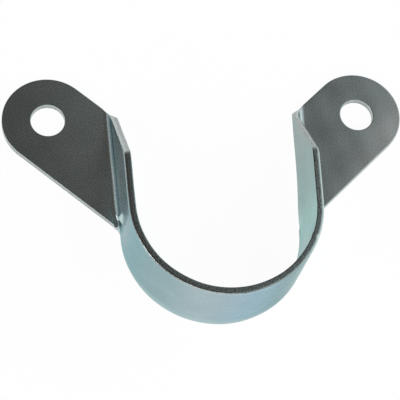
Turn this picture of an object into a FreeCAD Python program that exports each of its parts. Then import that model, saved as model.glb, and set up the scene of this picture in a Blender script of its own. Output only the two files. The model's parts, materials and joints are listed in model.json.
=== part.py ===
"""Conduit strap: one strip of zinc plated mild steel, pressed to a U with two folded ears.

The body is drawn square to the right leg: X runs out of that leg, Y runs along it away from
the round of the U, and Z is the pipe's axis, with the mounting plane at Z = 0.  The left half
is mirrored, and the body's Placement turns the whole by the splay, so that the U opens along +Y.
"""
import FreeCAD, Part
import Sketcher
import math
import os
import re

NODE = "strap"

# Driving dimensions, in millimetres and degrees.
DIMENSIONS = [
    ("seat_radius", 19.2, "inside radius of the U: half the conduit's outside diameter"),
    ("thickness", 1.6, "sheet"),
    ("band_width", 20.0, "width of the strip along the pipe"),
    ("splay", 1.6, "lean of each leg away from the other, degrees"),
    ("bend_radius", 1.5, "inside radius of the fold between leg and ear"),
    ("neutral_share", 0.5, "depth of the unstretched layer in the fold, as a share of the sheet"),
    ("ear_width", 20.5, "across the ear's two straight edges, and its round end's diameter"),
    ("ear_angle", 43.0, "slope of those edges from the leg's outward normal, degrees"),
    ("ear_start", 1.8, "height above the round at which the lower edge would reach the leg"),
    ("ear_reach", 13.9, "hole centre, outward from the leg's outer face"),
    ("hole_diameter", 7.6, "punched screw hole"),
    ("fold_runout", 2.4, "length in which the fold's lower end flattens into the band"),
    ("edge_roll", 0.4, "radius that the punch draws on the outer skin's edges"),
]
ALIASES = [alias for alias, size, meaning in DIMENSIONS]

# Sizes that follow from them, each a formula in those names and in the names here.
WORKED_OUT = {
    "leg_face": "seat_radius + thickness",
    "fold_rise": "thickness + bend_radius",
    "fold_axis": "leg_face + bend_radius",
    "fold_length": "pi / 2 * (bend_radius + neutral_share * thickness)",
    "slope": "tan(ear_angle * 1 deg)",
    "fold_drop": "slope * fold_length",
    "ear_mouth": "ear_width / cos(ear_angle * 1 deg)",
    "ear_low": "ear_start + slope * bend_radius",
    "ear_high": "ear_low + ear_mouth",
    "ear_x": "leg_face + ear_reach",
    "ear_centre": "ear_start + ear_mouth / 2 + slope * ear_reach",
    "leg_high": "ear_high - fold_drop",
    "leg_front": "leg_high - slope * (band_width - fold_rise)",
    "runout_low": "ear_low - fold_runout",
}

# Points on the outer skin's edges, along the band and around the ear.
BAND_EDGES = [
    ("leg_face * cos(45 deg)", "-leg_face * sin(45 deg)", "band_width"),
    ("leg_face", "leg_front / 2", "band_width"),
    ("leg_face", "(leg_high + leg_front) / 2", "(fold_rise + band_width) / 2"),
]
EAR_EDGES = [
    ("leg_face + ear_reach / 3", "ear_start + slope * ear_reach / 3", "thickness"),
    ("leg_face + ear_reach / 3", "ear_start + ear_mouth + slope * ear_reach / 3", "thickness"),
    ("ear_x + ear_width / 2", "ear_centre", "thickness"),
    ("ear_x + hole_diameter / 2", "ear_centre", "thickness"),
]

# The cutter that gives the fold its slanted end starts and stops this far past the fold's
# quarter turn, and stands clear of the sheet by these shares of the bend's inside radius.
QUARTER_TURN = 90.0
OVERRUN = 10.0
CUTTER_INSIDE = 0.5
CUTTER_OUTSIDE = 1.5


def spelled(formula):
    """The formula in the sheet's aliases alone, with every worked-out size written out."""
    def swap(match):
        word = match.group(0)
        if word in WORKED_OUT:
            return "(" + spelled(WORKED_OUT[word]) + ")"
        return "sizes." + word if word in ALIASES else word
    return re.sub(r"[a-z_]+", swap, formula)


def value(formula):
    """The formula's number at the sheet's present sizes."""
    return float(sheet.evalExpression(spelled(formula)))


def bind(thing, path, formula):
    thing.setExpression(path, spelled(formula))


def fill_sheet(target):
    for row, (alias, size, meaning) in enumerate(DIMENSIONS, start=1):
        target.set(f"A{row}", alias)
        target.set(f"B{row}", str(size))
        target.set(f"C{row}", meaning)
        target.setAlias(f"B{row}", alias)


def attach(thing, role, turn=None, **offset):
    """Lay a sketch or plane on an origin plane, moved and turned about its own Y by formulas."""
    planes = body.Origin.OriginFeatures
    thing.AttachmentSupport = [(next(plane for plane in planes if plane.Role == role), "")]
    thing.MapMode = "FlatFace"
    if turn:
        axis = FreeCAD.Vector(0, 1, 0)
        thing.AttachmentOffset = FreeCAD.Placement(FreeCAD.Vector(), FreeCAD.Rotation(axis, value(turn)))
        bind(thing, "AttachmentOffset.Rotation.Angle", turn)
    for coordinate, formula in offset.items():
        bind(thing, "AttachmentOffset.Base." + coordinate, formula)
    return thing


def new_sketch(name, role, turn=None, **offset):
    return attach(body.newObject("Sketcher::SketchObject", name), role, turn, **offset)


def dimension(sketch, kind, *places, formula):
    """Add a driving constraint and tie it to the sheet."""
    index = sketch.addConstraint(Sketcher.Constraint(kind, *places, value(formula)))
    bind(sketch, f"Constraints[{index}]", formula)


def pin(sketch, geometry, point, across, up):
    """Hold a point at formulas across and up from the sketch's origin; None is on the axis."""
    if across is None:
        sketch.addConstraint(Sketcher.Constraint("PointOnObject", geometry, point, -2))
    else:
        dimension(sketch, "DistanceX", -1, 1, geometry, point, formula=across)
    if up is None:
        sketch.addConstraint(Sketcher.Constraint("PointOnObject", geometry, point, -1))
    else:
        dimension(sketch, "DistanceY", -1, 1, geometry, point, formula=up)


def draw_polygon(sketch, corners):
    """A closed outline of straight lines, its corners given as pairs of formulas."""
    points = [FreeCAD.Vector(value(across or "0"), value(up or "0"), 0) for across, up in corners]
    for index, start in enumerate(points):
        sketch.addGeometry(Part.LineSegment(start, points[(index + 1) % len(points)]))
    for index, (across, up) in enumerate(corners):
        sketch.addConstraint(Sketcher.Constraint("Coincident", index, 2, (index + 1) % len(corners), 1))
        pin(sketch, index, 1, across, up)


def draw_arc(sketch, centre, radius, start, end):
    circle = Part.Circle(centre, FreeCAD.Vector(0, 0, 1), radius)
    return sketch.addGeometry(Part.ArcOfCircle(circle, math.radians(start), math.radians(end)))


def draw_line(sketch, first, first_end, second, second_end):
    """A line between the ends of two drawn pieces, joined to both."""
    places = [sketch.getPoint(first, first_end), sketch.getPoint(second, second_end)]
    line = sketch.addGeometry(Part.LineSegment(*places))
    sketch.addConstraint(Sketcher.Constraint("Coincident", line, 1, first, first_end))
    sketch.addConstraint(Sketcher.Constraint("Coincident", line, 2, second, second_end))
    return line


def made(feature, adds=True):
    """Recompute a new feature, and stop unless it adds material, or takes some away."""
    before = feature.BaseFeature.Shape.Volume if feature.BaseFeature else 0.0
    document.recompute()
    change = feature.Shape.Volume - before
    failed = "Invalid" in feature.State or "Error" in feature.State
    if failed or (change > 0) != adds or abs(change) < 0.001:
        raise RuntimeError(f"{feature.Name}: {feature.State}, volume changed by {change:.4f} mm3")
    return feature


def pad(sketch, length, backwards=False):
    feature = body.newObject("PartDesign::Pad", sketch.Name.replace("_outline", ""))
    feature.Profile = sketch
    feature.Reversed = backwards
    bind(feature, "Length", length)
    return made(feature)


def fold_sketch():
    """The fold's section: a quarter ring between the leg's sheet and the ear's."""
    sketch = new_sketch("fold_outline", "XZ_Plane", z="-(ear_low)")
    centre = FreeCAD.Vector(value("fold_axis"), value("fold_rise"), 0)
    inner = draw_arc(sketch, centre, value("bend_radius"), 180, 270)
    outer = draw_arc(sketch, centre, value("fold_rise"), 180, 270)
    pin(sketch, inner, 3, "fold_axis", "fold_rise")
    sketch.addConstraint(Sketcher.Constraint("Coincident", inner, 3, outer, 3))
    dimension(sketch, "Radius", inner, formula="bend_radius")
    dimension(sketch, "Radius", outer, formula="fold_rise")
    for point, direction in ((1, "Horizontal"), (2, "Vertical")):
        draw_line(sketch, inner, point, outer, point)
        sketch.addConstraint(Sketcher.Constraint(direction, inner, 3, inner, point))
        sketch.addConstraint(Sketcher.Constraint(direction, outer, 3, outer, point))
    return sketch


def cut_fold_end():
    """Cut the fold's upper end along the blank's straight slanted edge, rolled round the fold.

    The edge sinks evenly as it goes round the quarter turn, so it is a helix about the fold's
    axis, and the cut is everything above it.
    """
    sketch = new_sketch("fold_end_outline", "XY_Plane", turn=f"{OVERRUN}",
                        x="fold_axis", y="leg_high", z="fold_rise")
    inside = f"-{CUTTER_INSIDE} * bend_radius"
    outside = f"-(fold_rise + {CUTTER_OUTSIDE} * bend_radius)"
    start = f"-fold_drop * {OVERRUN} / 90"
    top = "ear_high"
    draw_polygon(sketch, [(outside, start), (inside, start), (inside, top), (outside, top)])
    document.recompute()
    cut = body.newObject("PartDesign::SubtractiveHelix", "fold_end")
    cut.Profile = sketch
    cut.ReferenceAxis = (sketch, ["V_Axis"])
    cut.Mode = "height-turns-angle"
    cut.LeftHanded = True
    bind(cut, "Height", f"fold_drop * (90 + 2 * {OVERRUN}) / 90")
    bind(cut, "Turns", f"(90 + 2 * {OVERRUN}) / 360")
    return made(cut, adds=False)


def run_out_fold(fold_outline):
    """The fold's lower end: the strip's straight margin opens out into the quarter ring."""
    sketch = new_sketch("margin_outline", "XZ_Plane", z="-(runout_low)")
    draw_polygon(sketch, [("seat_radius", None), ("leg_face", None),
                          ("leg_face", "fold_rise"), ("seat_radius", "fold_rise")])
    document.recompute()
    loft = body.newObject("PartDesign::AdditiveLoft", "fold_runout")
    loft.Profile = sketch
    loft.Sections = [fold_outline]
    loft.Ruled = True
    return made(loft)


def leg_sketch():
    """The straight leg, seen square on: the slanted edge runs down from the fold to the front."""
    sketch = new_sketch("leg_outline", "YZ_Plane", z="seat_radius")
    draw_polygon(sketch, [(None, None), ("runout_low", None), ("runout_low", "fold_rise"),
                          ("leg_high", "fold_rise"), ("leg_front", "band_width"),
                          (None, "band_width")])
    return sketch


def seat_sketch():
    """Half of the round of the U, from the leg to the plane of symmetry."""
    sketch = new_sketch("seat_outline", "XY_Plane")
    half_turn = QUARTER_TURN - value("splay")
    centre = FreeCAD.Vector(0, 0, 0)
    inner = draw_arc(sketch, centre, value("seat_radius"), -half_turn, 0)
    outer = draw_arc(sketch, centre, value("leg_face"), -half_turn, 0)
    for ring, size in ((inner, "seat_radius"), (outer, "leg_face")):
        sketch.addConstraint(Sketcher.Constraint("Coincident", ring, 3, -1, 1))
        dimension(sketch, "Radius", ring, formula=size)
        sketch.addConstraint(Sketcher.Constraint("PointOnObject", ring, 2, -1))
    draw_line(sketch, inner, 2, outer, 2)
    middle = draw_line(sketch, inner, 1, outer, 1)
    sketch.addConstraint(Sketcher.Constraint("PointOnObject", -1, 1, middle))
    dimension(sketch, "Angle", middle, formula="(splay - 90) * 1 deg")
    return sketch


def ear_sketch():
    """The ear in the mounting plane: two straight edges that run tangent into a round end."""
    sketch = new_sketch("ear_outline", "XY_Plane")
    slant = value("ear_angle")
    across = FreeCAD.Vector(-math.sin(math.radians(slant)), math.cos(math.radians(slant)), 0)
    centre = FreeCAD.Vector(value("ear_x"), value("ear_centre"), 0)
    radius = value("ear_width / 2")
    end = draw_arc(sketch, centre, radius, slant - QUARTER_TURN, slant + QUARTER_TURN)
    low = FreeCAD.Vector(value("fold_axis"), value("ear_low"), 0)
    high = FreeCAD.Vector(value("fold_axis"), value("ear_high"), 0)
    lower = sketch.addGeometry(Part.LineSegment(low, centre - across * radius))
    upper = sketch.addGeometry(Part.LineSegment(centre + across * radius, high))
    mouth = sketch.addGeometry(Part.LineSegment(high, low))
    sketch.addConstraint(Sketcher.Constraint("Tangent", lower, 2, end, 1))
    sketch.addConstraint(Sketcher.Constraint("Tangent", end, 2, upper, 1))
    sketch.addConstraint(Sketcher.Constraint("Coincident", upper, 2, mouth, 1))
    sketch.addConstraint(Sketcher.Constraint("Coincident", mouth, 2, lower, 1))
    sketch.addConstraint(Sketcher.Constraint("Vertical", mouth))
    sketch.addConstraint(Sketcher.Constraint("Parallel", lower, upper))
    dimension(sketch, "Angle", lower, formula="ear_angle * 1 deg")
    dimension(sketch, "Radius", end, formula="ear_width / 2")
    pin(sketch, end, 3, "ear_x", "ear_centre")
    dimension(sketch, "DistanceX", -1, 1, lower, 1, formula="fold_axis")
    return sketch


def punch_hole():
    sketch = new_sketch("hole_outline", "XY_Plane")
    centre = FreeCAD.Vector(value("ear_x"), value("ear_centre"), 0)
    ring = sketch.addGeometry(Part.Circle(centre, FreeCAD.Vector(0, 0, 1), value("hole_diameter / 2")))
    pin(sketch, ring, 3, "ear_x", "ear_centre")
    dimension(sketch, "Diameter", ring, formula="hole_diameter")
    pocket = body.newObject("PartDesign::Pocket", "screw_hole")
    pocket.Profile = sketch
    pocket.Type = "ThroughAll"
    pocket.Reversed = True
    return made(pocket, adds=False)


def roll_edges(name, base, points):
    """Round the edges that pass through the points."""
    shape = base.Shape
    names = []
    for point in points:
        vertex = Part.Vertex(*[value(formula) for formula in point])
        gaps = [edge.distToShape(vertex)[0] for edge in shape.Edges]
        names.append(f"Edge{gaps.index(min(gaps)) + 1}")
    fillet = body.newObject("PartDesign::Fillet", name)
    fillet.Base = (base, names)
    bind(fillet, "Radius", "min(edge_roll; thickness * 0.45)")
    return made(fillet, adds=False)


def mirror_half():
    """The left half, across the plane midway between the two legs."""
    middle = attach(body.newObject("PartDesign::Plane", "middle"), "YZ_Plane", turn="splay")
    document.recompute()
    mirror = body.newObject("PartDesign::Mirrored", "left_half")
    mirror.TransformMode = "Whole shape"
    mirror.MirrorPlane = (middle, [""])
    body.Tip = mirror
    return made(mirror)


document = FreeCAD.newDocument("conduit_strap")
sheet = document.addObject("Spreadsheet::Sheet", "sizes")
fill_sheet(sheet)
document.recompute()
body = document.addObject("PartDesign::Body", NODE)
body.Label = NODE

fold_outline = fold_sketch()
pad(fold_outline, "ear_mouth", backwards=True)
cut_fold_end()
run_out_fold(fold_outline)
pad(leg_sketch(), "thickness")
pad(seat_sketch(), "band_width")
pad(ear_sketch(), "thickness")
punched = punch_hole()
band = roll_edges("band_roll", punched, BAND_EDGES)
roll_edges("ear_roll", band, EAR_EDGES)
mirror_half()
body.Placement = FreeCAD.Placement(FreeCAD.Vector(), FreeCAD.Rotation(FreeCAD.Vector(0, 0, 1), 1.0))
bind(body, "Placement.Rotation.Angle", "-splay")
document.recompute()

for item in document.Objects:
    if "Invalid" in item.State or "Error" in item.State:
        raise RuntimeError(f"{item.Name}: {item.State}")
if body.Shape.isNull() or not body.Shape.isValid() or len(body.Shape.Solids) != 1:
    raise RuntimeError("the strap isn't one valid solid")

os.makedirs("parts", exist_ok=True)
body.Shape.exportStep(f"parts/{body.Label}.step")
box = body.Shape.BoundBox
print(f"{body.Label}: {box.XLength:.2f} x {box.YLength:.2f} x {box.ZLength:.2f} mm, "
      f"{body.Shape.Volume / 1000:.3f} cm3, {len(body.Shape.Faces)} faces")
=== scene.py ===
import json
import math

import bpy
import numpy as np
from mathutils import Matrix, Vector
from mathutils.geometry import delaunay_2d_cdt

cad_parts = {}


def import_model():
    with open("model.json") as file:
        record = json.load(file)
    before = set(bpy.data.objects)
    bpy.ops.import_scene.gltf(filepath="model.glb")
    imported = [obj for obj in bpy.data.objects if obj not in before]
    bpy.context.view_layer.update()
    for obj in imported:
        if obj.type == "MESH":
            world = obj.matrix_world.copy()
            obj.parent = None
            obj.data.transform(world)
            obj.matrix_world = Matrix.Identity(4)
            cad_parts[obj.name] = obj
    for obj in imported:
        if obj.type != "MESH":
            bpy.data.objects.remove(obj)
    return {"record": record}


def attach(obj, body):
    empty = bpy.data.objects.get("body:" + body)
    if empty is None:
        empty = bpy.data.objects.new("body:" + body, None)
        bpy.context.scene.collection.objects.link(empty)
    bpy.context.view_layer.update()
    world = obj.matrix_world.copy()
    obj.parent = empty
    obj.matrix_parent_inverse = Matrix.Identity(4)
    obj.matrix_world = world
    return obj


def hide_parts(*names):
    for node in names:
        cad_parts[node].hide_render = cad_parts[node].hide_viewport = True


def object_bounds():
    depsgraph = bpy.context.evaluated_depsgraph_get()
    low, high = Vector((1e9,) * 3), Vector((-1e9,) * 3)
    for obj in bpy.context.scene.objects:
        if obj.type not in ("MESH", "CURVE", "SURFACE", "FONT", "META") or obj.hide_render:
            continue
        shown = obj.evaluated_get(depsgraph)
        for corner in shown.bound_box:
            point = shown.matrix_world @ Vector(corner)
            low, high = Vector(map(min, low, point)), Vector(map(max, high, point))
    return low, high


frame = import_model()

cad_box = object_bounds()
MM = 0.001
mounts = {mount["name"]: mount for mount in frame["record"]["mounts"]}

# Sizes in millimetres: the first ones come from the frame, the rest repeat the pressing's own.
seat_radius = mounts["seat"]["dims"]["r_mm"]
band_width = mounts["seat"]["dims"]["length_mm"]
hole_radius = mounts["ear_holes"]["dims"]["hole_r_mm"]
thickness = -cad_box[0][1] / MM - seat_radius
splay = math.radians(1.6)
bend_radius = 1.5
ear_width = 20.5
ear_angle = math.radians(43.0)
ear_start = 1.8
ear_reach = 13.9
fold_runout = 2.4
edge_roll = 0.4

# What follows from them. The blank is measured along the strip from the middle of the round, and
# across it from the back edge, with the ears at negative distances.
middle_radius = seat_radius + thickness / 2
fold_rise = thickness + bend_radius
fold_middle = bend_radius + thickness / 2
fold_length = math.pi / 2 * fold_middle
round_length = middle_radius * (math.pi / 2 - splay)
slope = math.tan(ear_angle)
ear_low = ear_start + slope * bend_radius
ear_mouth = ear_width / math.cos(ear_angle)
ear_high = ear_low + ear_mouth
ear_centre = ear_start + ear_mouth / 2 + slope * ear_reach
ear_edge = fold_rise - fold_length
ear_depth = ear_edge - (ear_reach - bend_radius)
leg_front = ear_high - slope * (band_width - ear_edge)
runout_low = ear_low - fold_runout
fold_low = ear_low + slope * ear_edge

# Marks on this copy: how far each one stands out, its middle on the blank, and its spread along
# and across.
bump_along = -round_length - 2.3
marks = {
    "bump above the left fold's lower end": (0.90, (bump_along, 7.2), (1.0, 1.25)),
    "dent beside the bump": (-0.35, (-round_length - 0.7, 5.4), (0.8, 1.0)),
    "dent in the left fold": (-0.55, (-round_length - ear_low - 0.3, 0.9), (1.2, 0.9)),
    "nick in the front edge": (-0.35, (22.7, band_width), (0.35, 0.5)),
}
foot_push = (-0.42, (round_length + runout_low + 1.0, 2.0), (7.5, 2.4))

# The sheet's slight waves: direction in radians, length, phase and height.
waves = ((0.4, 9.0, 0.3, 0.010), (1.9, 6.1, 1.1, 0.006), (2.7, 13.0, 2.0, 0.014))

# The rows of the mesh round an edge: degrees round the outer roll, then shares of the way down.
# The sheared metal begins half way round the roll and ends above the inner corner.
roll_turns = (0, 15, 30, 45, 60, 75, 90)
wall_shares = (0.25, 0.5, 0.75, 1.0)
sheared_rows = range(1 + roll_turns.index(45), len(roll_turns) + len(wall_shares))


def smooth(x):
    """Rises gently from 0, where x is 0, to 1, where x is 1."""
    x = np.clip(x, 0, 1)
    return x * x * (3 - 2 * x)


# ---------------------------------------------------------------- the flat blank
# Each stretch of an outline leaves its last point to the next stretch.

def line(start, end, step):
    count = max(2, int(math.dist(start, end) / step) + 1)
    return [tuple(np.add(start, np.subtract(end, start) * k / count)) for k in range(count)]


def arc(centre, radius, first, last, count):
    turns = [first + (last - first) * k / count for k in range(count)]
    return [(centre[0] + radius * math.cos(a), centre[1] + radius * math.sin(a)) for a in turns]


def curve(start, pull, end, count):
    """A curve from the start to the end, drawn toward the pull."""
    ratios = [k / count for k in range(count)]
    return [tuple((1 - r) ** 2 * np.array(start) + 2 * r * (1 - r) * np.array(pull)
                  + r * r * np.array(end)) for r in ratios]


def half_outline():
    """The right half of the blank's edge: distance along the strip, and across it."""
    start = round_length
    corner = (start + leg_front, band_width)
    down = np.array([math.sin(ear_angle), -math.cos(ear_angle)])
    out = np.array([math.cos(ear_angle), math.sin(ear_angle)])
    centre = np.array([start + ear_centre, ear_depth])
    radius = ear_width / 2
    upper = centre + radius * out
    lower = centre - radius * out
    mouth = (start + ear_low, ear_edge)
    inner = (start + fold_low, 0.0)
    margin = (start + runout_low, 0.0)
    blunt = 1.2
    before = (corner[0] - blunt, band_width)
    after = tuple(np.array(corner) + down * blunt)
    path = line((0, band_width), before, step=0.5)
    path += curve(before, corner, after, count=8)
    path += line(after, upper, step=0.4)
    path += arc(centre, radius, ear_angle, ear_angle - math.pi, count=90)
    path += line(lower, mouth, step=0.4)
    path += curve(mouth, inner, margin, count=12)
    path += line(margin, (0, 0), step=0.5)
    return np.array(path)


def blank_outline():
    """The whole edge, anticlockwise."""
    right = half_outline()
    return np.vstack([[[0.0, 0.0]], right[::-1], right[1:] * (-1, 1)])


def hole_outline(side):
    """The edge of the right ear's hole for side 1 and of the left one's for side -1, clockwise."""
    centre = (side * (round_length + ear_centre), ear_depth)
    return np.array(arc(centre, hole_radius, 0, -2 * math.pi, count=72))


def inset(loop, depth):
    """The loop moved into the sheet, which lies to the left of its direction. At sharp corners
    the move is limited."""
    sharpest = 0.7
    before = loop - np.roll(loop, 1, axis=0)
    after = np.roll(loop, -1, axis=0) - loop
    normals = []
    for edge in (before, after):
        edge = edge / np.linalg.norm(edge, axis=1)[:, None]
        normals.append(np.column_stack([-edge[:, 1], edge[:, 0]]))
    mean = normals[0] + normals[1]
    mean /= np.linalg.norm(mean, axis=1)[:, None]
    stretch = np.maximum((mean * normals[0]).sum(axis=1), sharpest)
    return loop + (depth / stretch)[:, None] * mean


# ---------------------------------------------------------------- folding it up

def fold(along, across, height):
    """Where a point of the blank lies on the pressed strap. Its height is above the middle of the
    sheet."""
    side = np.where(along < 0, -1.0, 1.0)
    reach = np.abs(along)
    turn = np.minimum(reach, round_length) / middle_radius
    leg = np.maximum(reach - round_length, 0)
    drop = np.maximum(fold_rise - across, 0)
    angle = np.minimum(drop, fold_length) / fold_middle
    flat = np.maximum(drop - fold_length, 0)
    bent_out = fold_middle * (1 - np.cos(angle)) + flat + height * np.cos(angle)
    bent_z = np.maximum(across, fold_rise) - fold_middle * np.sin(angle) + height * np.sin(angle)
    folded = smooth((leg - runout_low) / (fold_low - runout_low))
    out = height + (bent_out - height) * folded
    z = across + (bent_z - across) * folded
    x = (middle_radius + out) * np.sin(turn) + leg * math.sin(splay)
    y = -(middle_radius + out) * np.cos(turn) + leg * math.cos(splay)
    return np.column_stack([side * x, y, z])


def pressed(along, across, mark):
    """How far a mark moves the sheet: a bell shape over its middle."""
    size, middle, spread = mark
    return size * np.exp(-((along - middle[0]) / spread[0]) ** 2
                         - ((across - middle[1]) / spread[1]) ** 2)


def dents(along, across, height):
    """The marks of wear and pressing, which are shallower on the inner skin."""
    inner_share = 0.4
    outward = np.clip(0.5 + height / thickness, 0, 1)
    total = 0.0
    for mark in marks.values():
        total = total + pressed(along, across, mark)
    return total * (inner_share + (1 - inner_share) * outward)


def foot(along, across):
    """The right leg's foot, pushed inward. The push grows from just past the round and from the
    back edge, which stays in place."""
    gap, leg_growth, edge_growth = 0.2, 2.0, 1.8
    begun = smooth((along - round_length - gap) / leg_growth) * smooth(across / edge_growth)
    return begun * pressed(along, across, foot_push)


def waviness(along, across):
    total = 0.0
    for turn, length, phase, size in waves:
        distance = along * math.cos(turn) + across * math.sin(turn)
        total = total + size * np.sin(2 * math.pi * distance / length + phase)
    return total


def unevenness(along, across, height):
    """How far the pressed sheet stands off its ideal place."""
    return dents(along, across, height) + foot(along, across) + waviness(along, across)


# ---------------------------------------------------------------- the mesh

def roll_rows():
    """Each row round the edge, from the outer skin to the inner one: its inset and its drop below
    the outer skin as shares of the edge's roll, then its own inset and its depth in millimetres."""
    outer_margin, inner_margin = 0.15, 0.4
    inner_corner = ((0.0, 0.06), (0.03, 0.015), (0.08, 0.0))
    wall = thickness - inner_corner[0][1]
    rows = [(1.0, 0.0, outer_margin, 0.0)]
    for turn in np.radians(roll_turns):
        rows.append((1 - math.sin(turn), 1 - math.cos(turn), 0.0, 0.0))
    for share in wall_shares:
        rows.append((0.0, 1 - share, 0.0, share * wall))
    for step, rise in inner_corner[1:]:
        rows.append((0.0, 0.0, step, thickness - rise))
    return rows + [(0.0, 0.0, inner_margin, thickness)]


def roll_size(loop):
    """The edge's roll, which is larger on the band's front edge than round the ears."""
    ear_share, growth = 0.35, 6.0
    return edge_roll * (ear_share + smooth(loop[:, 1] / growth))


def row_points(loop, row):
    """A row's points on the blank, and their heights above the middle of the sheet."""
    roll = roll_size(loop)
    points = inset(loop, roll * row[0] + row[2])
    return points, thickness / 2 - roll * row[1] - row[3]


def inside(points, loop):
    """Which points lie inside the closed loop."""
    hit = np.zeros(len(points), bool)
    for (x0, y0), (x1, y1) in zip(loop, np.roll(loop, -1, axis=0)):
        if y0 == y1:
            continue
        spans = (points[:, 1] < y0) != (points[:, 1] < y1)
        hit ^= spans & (points[:, 0] < x0 + (points[:, 1] - y0) * (x1 - x0) / (y1 - y0))
    return hit


def clear_of(points, loop, distance):
    """Which points lie further than the distance from every point of the loop."""
    batch = 4000
    clear = np.zeros(len(points), bool)
    for start in range(0, len(points), batch):
        part = slice(start, start + batch)
        gaps = np.linalg.norm(points[part, None, :] - loop[None, :, :], axis=2)
        clear[part] = gaps.min(axis=1) > distance
    return clear


def grid_points(outer, holes):
    """Points spread over the blank, closer together across the folds."""
    band_step, fold_step, ear_step, column_step = 0.7, 0.22, 0.8, 0.5
    band_margin, fold_margin, ear_margin = 0.6, 0.5, 1.0
    rows = list(np.arange(fold_rise + band_margin, band_width, band_step))
    rows += list(np.arange(ear_edge - fold_margin, fold_rise + fold_margin, fold_step))
    rows += list(np.arange(ear_edge - ear_margin, ear_depth - ear_width, -ear_step))
    reach = outer[:, 0].max()
    columns = np.arange(-reach, reach, column_step)
    points = np.array([(x, y) for y in rows for x in columns])
    keep = inside(points, outer)
    for loop in [outer] + holes:
        keep &= clear_of(points, loop, distance=0.3)
    for loop in holes:
        keep &= ~inside(points, loop)
    return points[keep]


def skin_faces(outer, holes, spread):
    """Triangles between the outer loop, the holes' loops and the spread points, by index."""
    thinnest = 0.002
    loops = [outer] + holes
    points = np.vstack(loops + [spread])
    edges = []
    start = 0
    for loop in loops:
        count = len(loop)
        edges += [(start + k, start + (k + 1) % count) for k in range(count)]
        start += count
    found = delaunay_2d_cdt([Vector(point) for point in points], edges, [], 0, 1e-6)
    faces, sources = found[2], found[3]
    triangles = np.array([[sources[corner][0] for corner in face] for face in faces])
    corners = points[triangles]
    middles = corners.mean(axis=1)
    first, second = corners[:, 1] - corners[:, 0], corners[:, 2] - corners[:, 0]
    area = (first[:, 0] * second[:, 1] - first[:, 1] * second[:, 0]) / 2
    longest = np.linalg.norm(corners - np.roll(corners, 1, axis=1), axis=2).max(axis=1)
    keep = inside(middles, outer) & (area > thinnest * longest)
    for loop in holes:
        keep &= ~inside(middles, loop)
    return points, triangles[keep]


def rim_points(loops, rows):
    """Every row's points round every loop, their heights, and the index where each one starts."""
    blank, heights, starts = [], [], {}
    count = 0
    for level, row in enumerate(rows):
        for number, loop in enumerate(loops):
            starts[level, number] = count
            points, height = row_points(loop, row)
            blank.append(points)
            heights.append(height)
            count += len(points)
    return blank, heights, starts


def rim_faces(loops, rows, starts):
    """The faces between the rows, and which of them are sheared metal."""
    faces, sheared = [], []
    for level in range(len(rows) - 1):
        for number, loop in enumerate(loops):
            upper, lower = starts[level, number], starts[level + 1, number]
            for k in range(len(loop)):
                following = (k + 1) % len(loop)
                faces.append((upper + following, upper + k, lower + k, lower + following))
                sheared.append(level in sheared_rows)
    return faces, sheared


def sheet():
    """The whole blank: its points, their heights above the middle of the sheet, its faces, and
    which of them are sheared metal."""
    rows = roll_rows()
    loops = [blank_outline(), hole_outline(1), hole_outline(-1)]
    blank, heights, starts = rim_points(loops, rows)
    faces, sheared = rim_faces(loops, rows, starts)
    ring = sum(len(loop) for loop in loops)
    count = ring * len(rows)
    for level, flip in ((0, False), (len(rows) - 1, True)):
        outer, *holes = [row_points(loop, rows[level])[0] for loop in loops]
        spread = grid_points(outer, holes)
        points, triangles = skin_faces(outer, holes, spread)
        shift = np.where(np.arange(len(points)) < ring, starts[level, 0], count - ring)
        blank.append(spread)
        heights.append(np.full(len(spread), thickness / 2 - rows[level][3]))
        for triangle in triangles:
            corners = [int(corner + shift[corner]) for corner in triangle]
            faces.append(tuple(corners[::-1] if flip else corners))
            sheared.append(False)
        count += len(spread)
    return np.vstack(blank), np.concatenate(heights), faces, sheared


def build_strap():
    """The pressed strap. Its UV map holds the place on the flat blank in metres, and the attribute
    depth runs from 0 on the outer skin to 1 on the inner one."""
    blank, heights, faces, sheared = sheet()
    along, across = blank[:, 0], blank[:, 1]
    placed = fold(along, across, heights + unevenness(along, across, heights))
    mesh = bpy.data.meshes.new("strap_sheet")
    mesh.from_pydata((placed * MM).tolist(), [], faces)
    mesh.validate()
    layer = mesh.uv_layers.new(name="blank")
    corners = np.empty(len(mesh.loops), dtype=np.int32)
    mesh.loops.foreach_get("vertex_index", corners)
    layer.data.foreach_set("uv", (blank[corners] * MM).astype(np.float32).ravel())
    depth = mesh.attributes.new("depth", "FLOAT", "POINT")
    depth.data.foreach_set("value", ((thickness / 2 - heights) / thickness).astype(np.float32))
    mesh.polygons.foreach_set("use_smooth", np.ones(len(mesh.polygons), dtype=bool))
    mesh.materials.append(zinc_skin())
    mesh.materials.append(sheared_edge())
    mesh.polygons.foreach_set("material_index", np.array(sheared, dtype=np.int32))
    mesh.update()
    strap = bpy.data.objects.new("strap_sheet", mesh)
    bpy.context.scene.collection.objects.link(strap)
    return strap


# ---------------------------------------------------------------- materials

def connect(tree, node, inputs):
    """Gives each of the node's inputs a value or another node's output."""
    for name, value in inputs.items():
        if isinstance(value, bpy.types.NodeSocket):
            tree.links.new(value, node.inputs[name])
        else:
            node.inputs[name].default_value = value


def add(tree, kind, inputs=None, **settings):
    """A new node with its settings and inputs."""
    made = tree.nodes.new(kind)
    for name, value in settings.items():
        setattr(made, name, value)
    connect(tree, made, inputs or {})
    return made


def calculate(tree, operation, first, second):
    return add(tree, "ShaderNodeMath", {0: first, 1: second}, operation=operation).outputs[0]


def remap(tree, value, low, high, new_low=0, new_high=1):
    """The new range's value where the old range's value lies, held at its ends."""
    return add(tree, "ShaderNodeMapRange", {"Value": value, "From Min": low, "From Max": high,
                                            "To Min": new_low, "To Max": new_high}).outputs["Result"]


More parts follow.
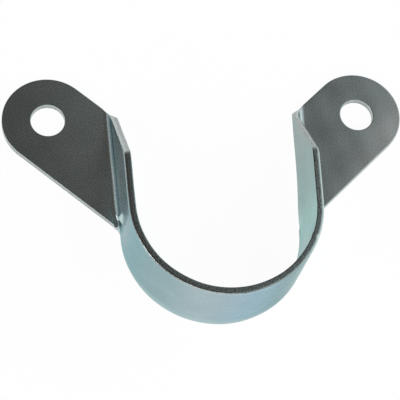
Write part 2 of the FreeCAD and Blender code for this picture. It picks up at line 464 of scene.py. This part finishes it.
def noise(tree, place, size, detail=2.0):
    """Noise whose blotches measure about the size, in millimetres."""
    return add(tree, "ShaderNodeTexNoise", {"Vector": place, "Scale": 1 / (size * MM),
                                            "Detail": detail}).outputs["Fac"]


def ramp(tree, value, stops):
    """A colour ramp from a list of positions and colours."""
    made = add(tree, "ShaderNodeValToRGB", {"Fac": value})
    made.color_ramp.interpolation = "EASE"
    elements = made.color_ramp.elements
    while len(elements) < len(stops):
        elements.new(1.0)
    for element, (position, colour) in zip(elements, stops):
        element.position = position
        element.color = (*colour, 1)
    return made.outputs["Color"]


def tinted(tree, first, second, share, blend="MIX"):
    """The first colour blended with a share of the second one."""
    made = add(tree, "ShaderNodeMix", {0: share}, data_type="RGBA", blend_type=blend)
    colours = [number for number, socket in enumerate(made.inputs) if socket.type == "RGBA"]
    connect(tree, made, {colours[0]: first, colours[1]: second})
    return [socket for socket in made.outputs if socket.type == "RGBA"][0]


def bumped(tree, height, distance):
    """Relief from the height, up to the distance in millimetres."""
    return add(tree, "ShaderNodeBump", {"Height": height, "Distance": distance * MM,
                                        "Strength": 1.0}).outputs["Normal"]


def new_material(name):
    material = bpy.data.materials.new(name)
    material.use_nodes = True
    tree = material.node_tree
    return material, tree, tree.nodes["Principled BSDF"]


def sheet_depth(tree):
    return add(tree, "ShaderNodeAttribute", attribute_name="depth").outputs["Fac"]


def sheet_place(tree):
    """The place on the flat blank in metres, with the depth into the sheet as its third
    coordinate."""
    blank = add(tree, "ShaderNodeUVMap", uv_map="blank").outputs[0]
    along, across = add(tree, "ShaderNodeSeparateXYZ", {0: blank}).outputs[:2]
    deep = calculate(tree, "MULTIPLY", sheet_depth(tree), thickness * MM)
    return add(tree, "ShaderNodeCombineXYZ", {0: along, 1: across, 2: deep}).outputs[0]


def band_tint(tree, along):
    """The band's tint, which drifts from the left leg's front end to the right one's."""
    half_span = 60 * MM
    return ramp(tree, remap(tree, along, -half_span, half_span), [
        (0.05, (0.34, 0.43, 0.44)),
        (0.15, (0.52, 0.62, 0.65)),
        (0.27, (0.40, 0.585, 0.62)),
        (0.37, (0.44, 0.56, 0.575)),
        (0.46, (0.55, 0.63, 0.66)),
        (0.54, (0.50, 0.635, 0.73)),
        (0.61, (0.36, 0.49, 0.51)),
        (0.73, (0.66, 0.86, 0.79)),
        (0.82, (0.52, 0.61, 0.58)),
        (0.92, (0.58, 0.57, 0.53))])


def ear_tint_and_painted_reflection(tree, along, across):
    """The ears' colour: their plating's tint with painted reflection in it, the left ear darkening
    outward and the right one growing lighter.
    """
    left_span = 20 * MM
    right_begins, right_ends = 17 * MM, 7 * MM
    # Partly painted reflection: these lighter and darker stretches stand for light and shade that the
    # ears reflect, laid into their colour.
    left = ramp(tree, remap(tree, across, 0, -left_span), [
        (0.0, (0.64, 0.74, 0.735)),
        (1.0, (0.46, 0.53, 0.515))])
    slanted = calculate(tree, "ADD", calculate(tree, "MULTIPLY", along, 0.5), across)
    right = ramp(tree, remap(tree, slanted, right_begins, right_ends), [
        (0.0, (0.53, 0.58, 0.58)),
        (1.0, (0.78, 0.80, 0.78))])
    return tinted(tree, left, right, remap(tree, along, -1 * MM, 1 * MM))


def painted_highlight_share(tree, place):
    """The share of painted highlight, a bright colour standing for a lamp's glint: 1 on the bump
    beside the left fold, and 0 elsewhere.
    """
    middle = (bump_along * MM, 7.8 * MM, 0)
    outer, inner = 2.4 * MM, 1.0 * MM
    apart = add(tree, "ShaderNodeVectorMath", {0: place, 1: middle}, operation="DISTANCE")
    return remap(tree, apart.outputs["Value"], outer, inner)


def haze(tree, along, across):
    """How metallic the skin looks: less on the band than on the ears, and least on the left leg."""
    band_begins, band_is_full = 2.0 * MM, 5.0 * MM
    clear = remap(tree, across, band_begins, band_is_full, 0.92, 0.78)
    on_band = remap(tree, across, band_begins, band_is_full)
    left_leg = remap(tree, along, -25.0 * MM, -29.0 * MM, 0, 0.27)
    return calculate(tree, "SUBTRACT", clear, calculate(tree, "MULTIPLY", left_leg, on_band))


def scratches(tree, place):
    """A little added roughness in a few long, slanting scratches."""
    stretched = add(tree, "ShaderNodeMapping", {"Vector": place, "Scale": (0.08, 9.0, 1.0),
                                                "Rotation": (0, 0, math.radians(35))})
    return remap(tree, noise(tree, stretched.outputs[0], 1.0), 0.66, 0.74, 0, 0.10)


def zinc_skin():
    """Bright zinc with a clear passivate: light grey face on, blue-green where it is seen flat, with
    faint clouds, a fine grain and a few light scratches. The ears' colour holds painted reflection,
    and the bump beside the left fold a painted highlight."""
    material, tree, shader = new_material("zinc_skin")
    place = sheet_place(tree)
    along, across = add(tree, "ShaderNodeSeparateXYZ", {0: place}).outputs[:2]
    on_band = remap(tree, across, 0, 3 * MM)
    # The ears' colour holds painted reflection as well as the plating's tint.
    tint = tinted(tree, ear_tint_and_painted_reflection(tree, along, across), band_tint(tree, along), on_band)
    # Painted highlight: a pale bright tint on the bump beside the left fold stands for a lamp's
    # glint.
    tint = tinted(tree, tint, (0.76, 0.92, 0.91, 1), painted_highlight_share(tree, place))
    cloud = noise(tree, place, 6.0, detail=3.0)
    shade = ramp(tree, cloud, [(0.3, (0.92, 0.93, 0.94)), (0.7, (1.0, 1.0, 1.0))])
    grain = noise(tree, place, 0.30)
    grained = remap(tree, grain, 0.3, 0.7, 0.20, 0.29)
    connect(tree, shader, {
        "Base Color": tinted(tree, tint, shade, 1.0, "MULTIPLY"),
        "Metallic": haze(tree, along, across),
        "Specular Tint": (0.43, 0.59, 0.61, 1),
        "Roughness": calculate(tree, "ADD", grained, scratches(tree, place)),
        "Normal": bumped(tree, grain, 0.006)})
    return material


def sheared_edge():
    """The cut edge: a burnished lip beside the outer skin, then torn metal, all lightly plated."""
    material, tree, shader = new_material("sheared_edge")
    place = sheet_place(tree)
    torn = noise(tree, place, 0.35, detail=4.0)
    wander = remap(tree, noise(tree, place, 1.6), 0.3, 0.7, -0.15, 0.15)
    border = calculate(tree, "ADD", sheet_depth(tree), wander)
    lip_ends, torn_begins = 0.36, 0.50
    zone = remap(tree, border, lip_ends, torn_begins)
    lip = (0.42, 0.48, 0.47, 1)
    pitted = ramp(tree, torn, [(0.34, (0.22, 0.24, 0.24)), (0.60, (0.37, 0.42, 0.41))])
    connect(tree, shader, {
        "Base Color": tinted(tree, lip, pitted, zone),
        "Metallic": 1.0,
        "Roughness": remap(tree, zone, 0, 1, 0.22, 0.30),
        "Normal": bumped(tree, torn, 0.05)})
    return material


def floor_material():
    """White for the camera, in reflections and through glass; it keeps some of the strap's shadow."""
    material = bpy.data.materials.new("white_table")
    material.use_nodes = True
    tree = material.node_tree
    paper = add(tree, "ShaderNodeBsdfDiffuse", {"Color": (0.85, 0.85, 0.85, 1)}).outputs[0]
    glow = add(tree, "ShaderNodeEmission", {"Strength": 1.06}).outputs[0]
    path = add(tree, "ShaderNodeLightPath").outputs
    seen = calculate(tree, "MAXIMUM", path["Is Camera Ray"], path["Is Glossy Ray"])
    seen = calculate(tree, "MAXIMUM", seen, path["Is Transmission Ray"])
    share = calculate(tree, "MULTIPLY", seen, 0.9)
    blend = add(tree, "ShaderNodeMixShader", {0: share, 1: paper, 2: glow}).outputs[0]
    connect(tree, tree.nodes["Material Output"], {"Surface": blend})
    return material


# ---------------------------------------------------------------- studio, in metres

def floor():
    """A wide white table, a hair below the strap."""
    size = 3.0
    gap = 0.0002
    corners = [(-size, -size, 0), (size, -size, 0), (size, size, 0), (-size, size, 0)]
    mesh = bpy.data.meshes.new("table")
    mesh.from_pydata(corners, [], [(0, 1, 2, 3)])
    mesh.materials.append(floor_material())
    table = bpy.data.objects.new("table", mesh)
    table.location.z = -gap
    bpy.context.scene.collection.objects.link(table)


def panel(name, direction, size, radiance):
    """A soft panel far away in the given direction, facing the strap."""
    distance = 3.0
    place = Vector(direction).normalized() * distance
    data = bpy.data.lights.new(name, "AREA")
    data.shape = "RECTANGLE"
    data.size, data.size_y = size
    data.energy = math.pi * size[0] * size[1] * radiance
    light = bpy.data.objects.new(name, data)
    light.location = place
    light.rotation_euler = (-place).to_track_quat("-Z", "Y").to_euler()
    bpy.context.scene.collection.objects.link(light)


def world():
    """A room that is dark overhead, with grey walls, and light on the right."""
    dark = (0.080, 0.068, 0.062)
    wall = (0.46, 0.47, 0.48)
    light = (0.72, 0.80, 0.82)
    studio = bpy.data.worlds.new("studio")
    bpy.context.scene.world = studio
    studio.use_nodes = True
    tree = studio.node_tree
    way = add(tree, "ShaderNodeTexCoord").outputs["Generated"]
    parts = add(tree, "ShaderNodeSeparateXYZ", {0: way}).outputs
    walls = ramp(tree, parts[2], [(0.20, wall), (0.50, dark)])
    right = ramp(tree, parts[0], [(0.21, dark), (0.44, light)])
    colour = tinted(tree, walls, right, 1.0, "LIGHTEN")
    connect(tree, tree.nodes["Background"], {"Color": colour})


def camera():
    """Looks down on the strap from beyond the round of the U, a little from the left."""
    azimuth, height, roll = (math.radians(angle) for angle in (-22.23, 66.46, 19.05))
    distance = 0.3423
    target = Vector((-0.00243, 0.0083, 0.0))
    back = Vector((math.sin(azimuth) * math.cos(height), -math.cos(azimuth) * math.cos(height),
                   math.sin(height)))
    data = bpy.data.cameras.new("camera")
    data.sensor_width = 36.0
    data.lens = 138.1
    data.clip_start = 0.01
    level = back.to_track_quat("Z", "Y").to_matrix()
    turned = (level @ Matrix.Rotation(roll, 3, "Z")).to_4x4()
    view = bpy.data.objects.new("camera", data)
    view.matrix_world = Matrix.Translation(target + back * distance) @ turned
    bpy.context.scene.collection.objects.link(view)
    bpy.context.scene.camera = view


strap = build_strap()
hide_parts("strap")
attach(strap, "root")

floor()
world()
panel("left_strip", (-0.82, 0.40, 0.40), (1.6, 0.45), 0.6)
panel("left_key", (-0.80, -0.25, 0.50), (1.2, 1.0), 3.0)
panel("right_key", (0.93, 0.15, 0.22), (3.0, 1.9), 0.6)
panel("front_fill", (-0.2, -0.8, 0.6), (2.4, 1.6), 1.4)
camera()

bpy.context.scene.view_settings.view_transform = "Standard"
